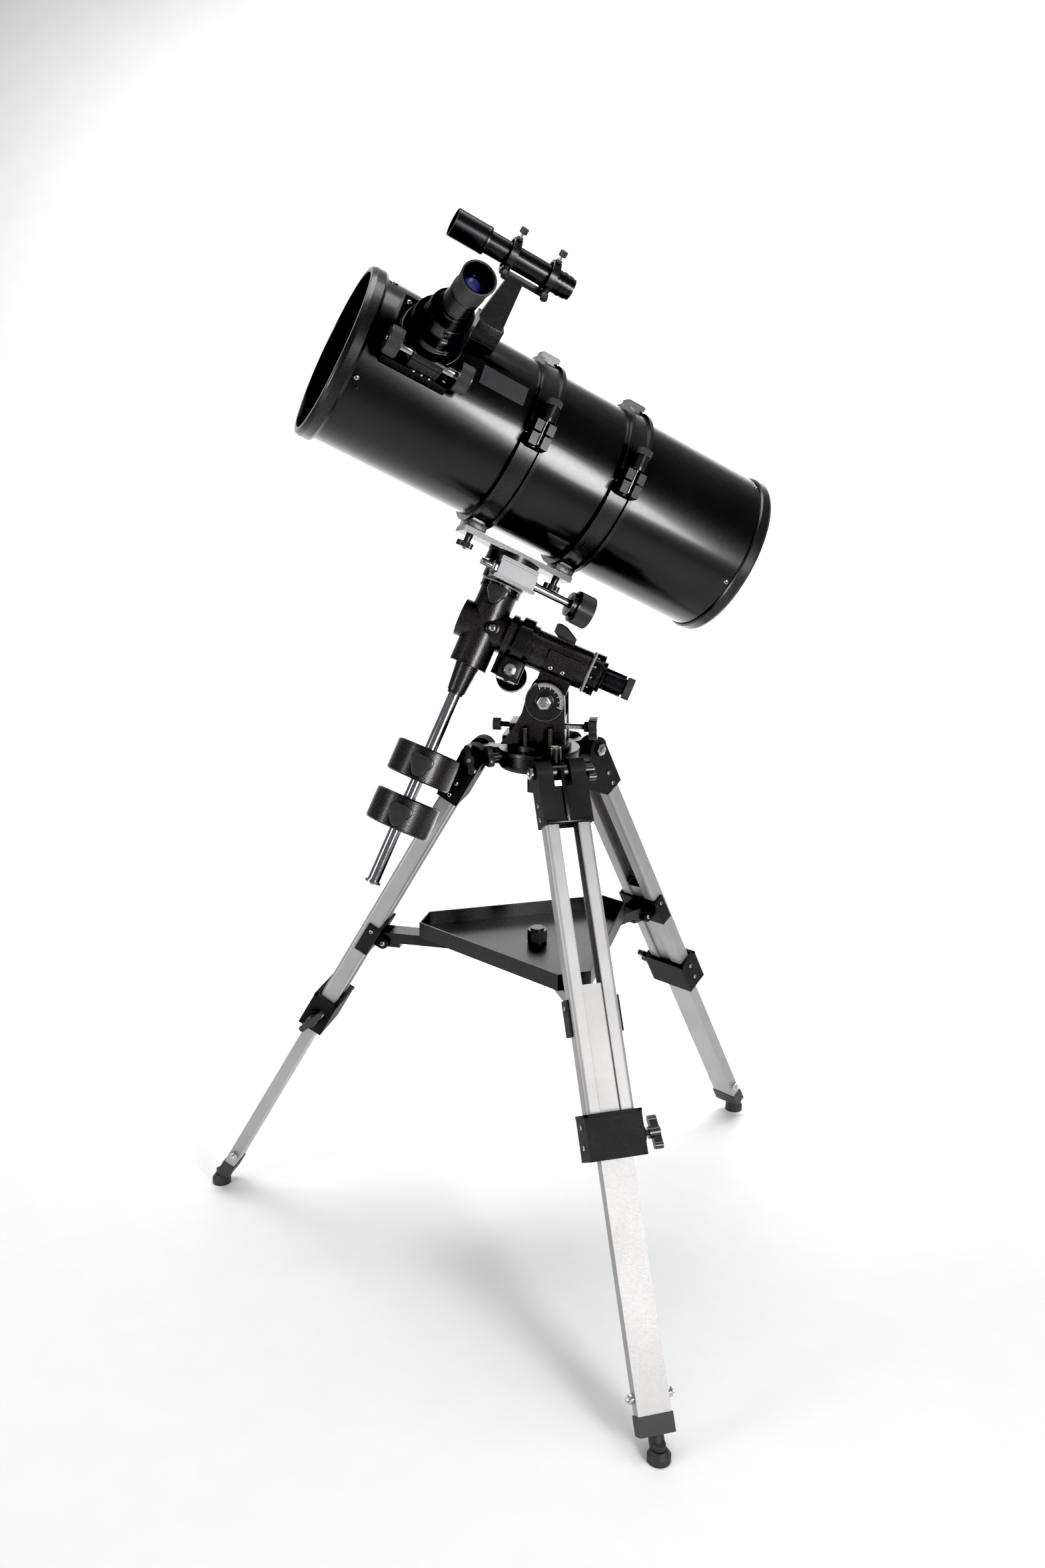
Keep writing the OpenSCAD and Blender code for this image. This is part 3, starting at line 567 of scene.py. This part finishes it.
def dial(prefix, matrix, radius, z, count, long_every, body, step, toward):
    ticks = []
    for k in range(count):
        tall = 3.2 if k % long_every == 0 else 1.9
        t = block(radius - 0.3, radius + 0.14, -0.22, 0.22, min(z, z + toward * tall), max(z, z + toward * tall))
        ticks.append(moved(t, turn("Z", 360.0 * k / count)))
    build(prefix + "_ticks", *merged(ticks), WHITE, body, matrix, smooth=False)
    labels = count // long_every
    for k in range(labels):
        spot = matrix @ turn("Z", 360.0 * k / labels) @ shift(radius + 0.08, 0, z + toward * 5.6)
        face = spot @ Matrix(((0, 0, 1, 0), (1, 0, 0, 0), (0, 1, 0, 0), (0, 0, 0, 1)))
        number("%s_number_%d" % (prefix, k), str(k * step), 3.0, face, WHITE, body)


dial("dec_dial", DEC_BASE, 29.6, 62.4, 120, 10, "dec_circle", 3, -1)
dial("ra_dial", POLAR, 30.1, -75.2, 144, 12, "ra_circle", 2, -1)
edge = turned([(30.0, -75.0), (30.35, -74.4), (29.4, -72.4), (25, -72.2), (25, -74)], 96)
build("ra_dial_edge", *edge, MACHINED, "ra_circle", POLAR)
back = turned([(30.1, -87.6), (30.4, -88.2), (30.1, -90.6), (24, -90.8), (24, -88)], 96)
build("ra_dial_back", *back, ENAMEL, "ra_circle", POLAR)
for k, (r, z0, z1) in enumerate(((22.4, -95.8, -92.6), (16.3, -100.4, -98.4), (16.3, -126, -123.4))):
    band = turned([(r - 2, z0), (r - 0.4, z0), (r, z0 + 0.5), (r, z1 - 0.5), (r - 0.4, z1), (r - 2, z1)], 72)
    build("polar_scope_band_%d" % k, *band, ANODISED, "polar_head", POLAR)
build("polar_scope_grip", *ring_of_ribs(15.9, 0.35, 56, -139.4, -130, 14), RUBBER, "polar_head", POLAR)
lens = turned([(0, -138.4), (8.2, -138.4), (8.2, -137.4), (0, -137.4)], 40)
build("polar_scope_lens", *lens, LENS, "polar_head", POLAR)
flange = turned([(34.8, 18.2), (36.2, 19.2), (36.3, 34.6), (34.8, 36), (30, 36), (30, 18.2)], 96)
build("polar_flange", *flange, ENAMEL, "polar_head", POLAR)
for k, z in enumerate((-24, -42)):
    for side in (-1, 1):
        M = POLAR @ shift(-10, side * 30, z) @ turn("X", -90 * side)
        screw("housing_screw_%d_%d" % (k, side + 1), 3.0, 1.8, M, "polar_head")
lever = POLAR @ shift(6, 0, -28) @ turn("Z", -14)
wedge = prism([(24, -14), (31, -14), (42, 4), (44, 14), (42, 20), (30, 20), (24, 10)], -3.2, 3.2)
build("ra_stop_block", *moved(wedge, turn("X", 90)), PLASTIC, "polar_head", lever, 0.8)

# ---- right ascension drive ----

worm = RA @ shift(-43.7, 0, 26) @ turn("X", -90)
plate = prism([(-14, -16), (14, -16), (14, 8), (0, 17.5), (-14, 8)], -28.2, -24.6)
build("ra_bracket_plate", *moved(plate, turn("Z", 90)), CASTING, "dec_head", worm, 0.8)
build("ra_worm_nut", *hexagon(15, -33.2, -28), ZINC, "dec_head", worm, 0.6)
build("ra_worm_washer", *turned([(0, -28.6), (9, -28.6), (9, -27.6), (0, -27.6)], 32), ZINC, "dec_head", worm)
build("ra_worm_tip", *turned([(0, -34), (2.6, -34), (2.6, -32), (0, -32)], 20), CHROME, "dec_head", worm)
build("ra_knob_ribs", *ring_of_ribs(22.6, 0.75, 72, 63, 89.2, 19), RUBBER, "ra_knob", worm)
face = turned([(0, 90.6), (17, 90.4), (20.8, 89.8), (21.4, 88.8), (0, 88.8)], 72)
build("ra_knob_face", *face, PLASTIC, "ra_knob", worm)


# ---- three-lobed knob faces ----

def lobes(r, z0, z1):
    outline = []
    for k in range(96):
        a = 2 * math.pi * k / 96
        bulge = r * (0.86 + 0.14 * math.cos(3 * a))
        outline.append((bulge * math.cos(a), bulge * math.sin(a)))
    return prism(outline, z0, z1)


for body, height, reach, r in (("counterweight_upper", -212, 47.2, 18.2), ("counterweight_lower", -285, 47.2, 18.2),
                               ("dec_lock", 45, 30.1, 16)):
    M = DEC_BASE @ shift(0, 0, height) @ turn("X", -90) @ turn("Z", 90)
    build("lobed_face_" + body, *lobes(r, reach, reach + 10.2), PLASTIC, body, M, 2.2)
    hub = turned([(0, reach + 10), (r * 0.42, reach + 10), (r * 0.4, reach + 10.9), (0, reach + 11.2)], 40)
    build("lobed_hub_" + body, *hub, PLASTIC, body, M)

# ---- counterweights ----

for name, low in WEIGHTS:
    for k, (z, way) in enumerate(((low, 1), (low + WEIGHT_LENGTH, -1))):
        edge_ring = turned([(43.6, z - 0.2 * way), (45.2, z + 0.3 * way), (46.6, z + 1.6 * way), (47.15, z + 3.6 * way),
                            (46.2, z + 4.4 * way), (43.6, z + 2 * way)], 96)
        build("%s_edge_%d" % (name, k), *edge_ring, ENAMEL, name, DEC_BASE)
shaft = turned([(0, -391), (11.5, -391), (11.5, -387), (9, -387), (9, -52), (0, -52)], 96)
bar = build("counterweight_bar", *shaft, CHROME, "dec_head", DEC_BASE)
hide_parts("counterweight_shaft")
build("shaft_washer", *turned([(8, -391.8), (10.8, -391.4), (11.8, -390), (11.8, -388), (10.8, -387), (8, -387)], 48),
      CHROME, "dec_head", DEC_BASE)
screw("shaft_end_screw", 5, 2.4, DEC_BASE @ shift(0, 0, -391.4) @ turn("X", 180), "dec_head")

# ---- mount base ----

alt = HEAD @ shift(11, -33, 848) @ TO_FRONT
scale_ticks = []
for k in range(31):
    tall = 7.5 if k % 5 == 0 else 4.6
    t = block(26.2 - tall, 26.2, -0.28, 0.28, -0.1, 0.22)
    scale_ticks.append(moved(t, turn("Z", -22 + 4.4 * k)))
build("latitude_ticks", *merged(scale_ticks), WHITE, "mount_base", alt, smooth=False)
bright_arc = turned([(27.0, -0.6), (27.35, -0.4), (27.35, 0.1), (26.8, 0.3)], 96)
build("latitude_rim", *bright_arc, MACHINED, "mount_base", alt)
washer = turned([(0, -0.1), (13.5, -0.1), (13.5, 1.2), (12.9, 1.6), (0, 1.6)], 48)
build("altitude_washer", *washer, ENAMEL, "mount_base", alt)
build("altitude_nut_front", *hexagon(17.2, 0.8, 8.6), ZINC, "mount_base", alt, 0.7)
build("altitude_tip", *turned([(0, 8), (5, 8), (5, 10.6), (4.2, 11.4), (0, 11.4)], 28), ZINC, "mount_base", alt)
for x in (-15, 20):
    post_cap = turned([(0, 808), (3.5, 808), (3.5, 811)] + dome(3.5, 2.4, 811)[1:], 24)
    build("base_post_cap_%d" % (x + 20), *post_cap, ENAMEL, "mount_base", HEAD @ shift(x, -38, 0))
ring_edge = turned([(45.4, 778), (46.4, 778.6), (46.4, 784.6), (45.4, 785.8), (44, 785)], 96)
build("base_flange_edge", *ring_edge, ENAMEL, "mount_base", HEAD)
rear = HEAD @ shift(0, 0, 807) @ ALONG_X
thread = turned([(0, 36)] + [(4.0 + 0.35 * (k % 2), 38.2 + 0.55 * k) for k in range(46)] + [(0, 63.6)], 28)
build("latitude_rear_rod", *thread, ZINC, "latitude_screw_rear", rear)

# ---- tripod ----

drum = turned([(53.8, 747.8), (55.6, 748.4), (58.2, 752.4), (58.3, 757), (57.6, 758), (57.6, 770), (58.4, 771),
               (58.4, 775), (57.6, 776.2), (50, 776.2), (50, 747.8)], 96)
build("head_drum_skin", *drum, HAMMERED, "tripod", HEAD)
azimuth = HEAD @ shift(-47, -27, 767) @ turn("Z", 30) @ turn("Y", -90)
build("azimuth_knob", *lobes(17, 18, 28), PLASTIC, "tripod", azimuth, 2.2)
build("azimuth_stem", *turned([(0, 0), (5, 0), (5, 18.4), (0, 18.4)], 28), PLASTIC, "tripod", azimuth)
vial = head_turned(LEGS[0][1]) @ shift(74, 0, 0)
bezel = turned([(6.2, 792), (8.6, 792), (8.6, 793.4), (7.4, 794), (6.2, 794)], 40)
build("level_bezel", *bezel, CHROME, "tripod", vial)
build("level_glass", *turned([(0, 793), (6.3, 793)] + dome(6.3, 1.6, 793.3), 40), BUBBLE, "tripod", vial)
for side, phase in LEGS:
    hinge = head_turned(phase) @ shift(HINGE_R, -35.4, HINGE_Z) @ turn("X", 90)
    build("hinge_bolt_head_" + side, *hexagon(16.4, -0.2, 6.3), ZINC, "tripod", hinge, 0.6)
    tip = turned([(0, 6), (3.4, 6), (3.4, 8.2), (2.6, 9), (0, 9)], 20)
    build("hinge_bolt_tip_" + side, *tip, ZINC, "tripod", hinge)
    wing_end = head_turned(phase) @ shift(HINGE_R, 49.4, HINGE_Z) @ turn("X", -90)
    stud = turned([(0, -0.4), (3.2, -0.4), (3.2, 1.8), (2.4, 2.6), (0, 2.6)], 20)
    build("hinge_wing_stud_" + side, *stud, ZINC, "tripod", wing_end)
    leg = leg_frame(side)
    ext = "leg_%s_extension" % side
    for s in (46, 66):
        for way in (-1, 1):
            M = leg @ shift(0, way * 35, s) @ turn("X", -90 * way)
            screw("casting_screw_%s_%d_%d" % (side, s, way + 1), 3.2, 2.0, M, "tripod")
    for s in (474, 500):
        M = leg @ shift(0, -39, s) @ turn("X", 90)
        screw("clamp_screw_%s_%d" % (side, s), 3.4, 2.2, M, "tripod")
    rim_top = merged([block(-20.6, 20.6, -39.6, -34, 458.8, 463), block(-20.6, 20.6, 34, 39.6, 458.8, 463),
                      block(-20.6, -14.4, -39.6, 39.6, 458.8, 463), block(14.4, 20.6, -39.6, 39.6, 458.8, 463)])
    build("clamp_rim_" + side, *rim_top, CRINKLE, "tripod", leg, 0.8)
    web = merged([block(-19.8, -16.8, -3, 3, 2, 74), block(-18.4, -16.6, -30, 30, 70, 75)])
    build("casting_web_" + side, *web, ENAMEL, "tripod", leg, 0.6)
    for way in (-1, 1):
        rail_lip = block(-13.3, -12.2, way * 14.4 - 0.5, way * 14.4 + 0.5, 78, 458)
        build("rail_lip_%s_%d" % (side, way + 1), *rail_lip, ALUMINIUM, "tripod", leg, 0.2)
    M = leg @ shift(0, 0, LOCK_S) @ turn("X", -90)
    stem = turned([(0, 40)] + [(4.2 + 0.3 * (k % 2), 44.3 + 0.5 * k) for k in range(14)] + [(0, 51.6)], 24)
    build("lock_stem_" + side, *stem, ZINC, "leg_%s_knob" % side, M)
    for way in (-1, 1):
        M = leg @ shift(0, way * 22, 805) @ turn("X", -90 * way)
        build("foot_bolt_%s_%d" % (side, way + 1), *hexagon(12, -0.2, 6.4), ZINC, ext, M, 0.6)
        tip = turned([(0, 6), (3.2, 6), (3.2, 9.4), (2.6, 10), (0, 10)], 20)
        build("foot_bolt_tip_%s_%d" % (side, way + 1), *tip, ZINC, ext, M)
    for way in (-1, 1):
        M = leg @ shift(27, way * 22, 334) @ turn("X", -90 * way)
        screw("arm_bolt_%s_%d" % (side, way + 1), 4.2, 2.6, M, "tripod")
        M = leg @ shift(5, way * 37, 334 - 14) @ turn("X", -90 * way)
        screw("bracket_screw_%s_%d" % (side, way + 1), 3.0, 2.0, M, "tripod")
build("tray_knob_ribs", *ring_of_ribs(14.6, 0.6, 40, 481.2, 496.6, 12), RUBBER, "tray_knob", HEAD)

# ---- studio ----

FLOOR_BACK = 2.6
CURVE_R = 1.2
CURVE_STEPS = 12
curve = []
for k in range(CURVE_STEPS + 1):
    a = math.pi / 2 * k / CURVE_STEPS
    curve.append((FLOOR_BACK + CURVE_R * math.sin(a), CURVE_R - CURVE_R * math.cos(a)))
profile = [(-6.0, 0.0)] + curve + [(FLOOR_BACK + CURVE_R, 7.0)]
verts = [(x, y, z) for y, z in profile for x in (-9.0, 9.0)]
faces = [[2 * k, 2 * k + 1, 2 * k + 3, 2 * k + 2] for k in range(len(profile) - 1)]
floor_mesh = bpy.data.meshes.new("floor")
floor_mesh.from_pydata(verts, [], faces)
for p in floor_mesh.polygons:
    p.use_smooth = True
floor = bpy.data.objects.new("floor", floor_mesh)
bpy.context.scene.collection.objects.link(floor)
floor_mesh.materials.append(coated("pale_floor", (0.9, 0.9, 0.9), (0.92, 0.92, 0.92), (0.6, 0.7), 30, 0.01))


def softbox(name, place, target, width, height, power):
    """A rectangular area light aimed at a point."""
    data = bpy.data.lights.new(name, "AREA")
    data.shape = "RECTANGLE"
    data.size = width
    data.size_y = height
    data.energy = power
    data.spread = math.radians(110)
    lamp = bpy.data.objects.new(name, data)
    lamp.location = place
    lamp.rotation_euler = (Vector(target) - Vector(place)).to_track_quat("-Z", "Y").to_euler()
    bpy.context.scene.collection.objects.link(lamp)
    return lamp


softbox("right_box", (1.5, -1.7, 1.12), (0.1, 0, 1.1), 0.5, 1.1, 17)
softbox("left_box", (-1.9, -1.6, 1.1), (0, 0, 0.9), 0.36, 1.9, 11)
softbox("top_box", (0.0, 0.5, 3.4), (0, 0, 0.6), 2.4, 1.6, 26)
softbox("back_box", (0.0, 1.2, 3.2), (0, 2.8, 0.8), 3.6, 0.8, 120)

world = bpy.data.worlds.new("studio")
bpy.context.scene.world = world
world.use_nodes = True
back = world.node_tree.nodes["Background"]
back.inputs["Color"].default_value = (0.96, 0.97, 1.0, 1)
back.inputs["Strength"].default_value = 0.27

data = bpy.data.cameras.new("camera")
data.sensor_fit = "HORIZONTAL"
data.sensor_width = 36.0
data.lens = 49.79
data.clip_start = 0.05
camera = bpy.data.objects.new("camera", data)
right = Vector((0.990979, 0.133879, 0.006086))
up = Vector((-0.041924, 0.26655, 0.962909))
away = Vector((-0.127291, 0.954478, -0.269758))
camera.matrix_world = Matrix.Translation(HEAD.translation + Vector((0.241156, -1.984041, 1.279968))) @ Matrix(
    (right, up, -away)).transposed().to_4x4()
bpy.context.scene.collection.objects.link(camera)
bpy.context.scene.camera = camera
bpy.context.scene.view_settings.view_transform = "Standard"
bpy.context.scene.view_settings.use_curve_mapping = True
bpy.context.scene.view_settings.curve_mapping.black_level = (0.018, 0.018, 0.018)

bpy.context.view_layer.update()
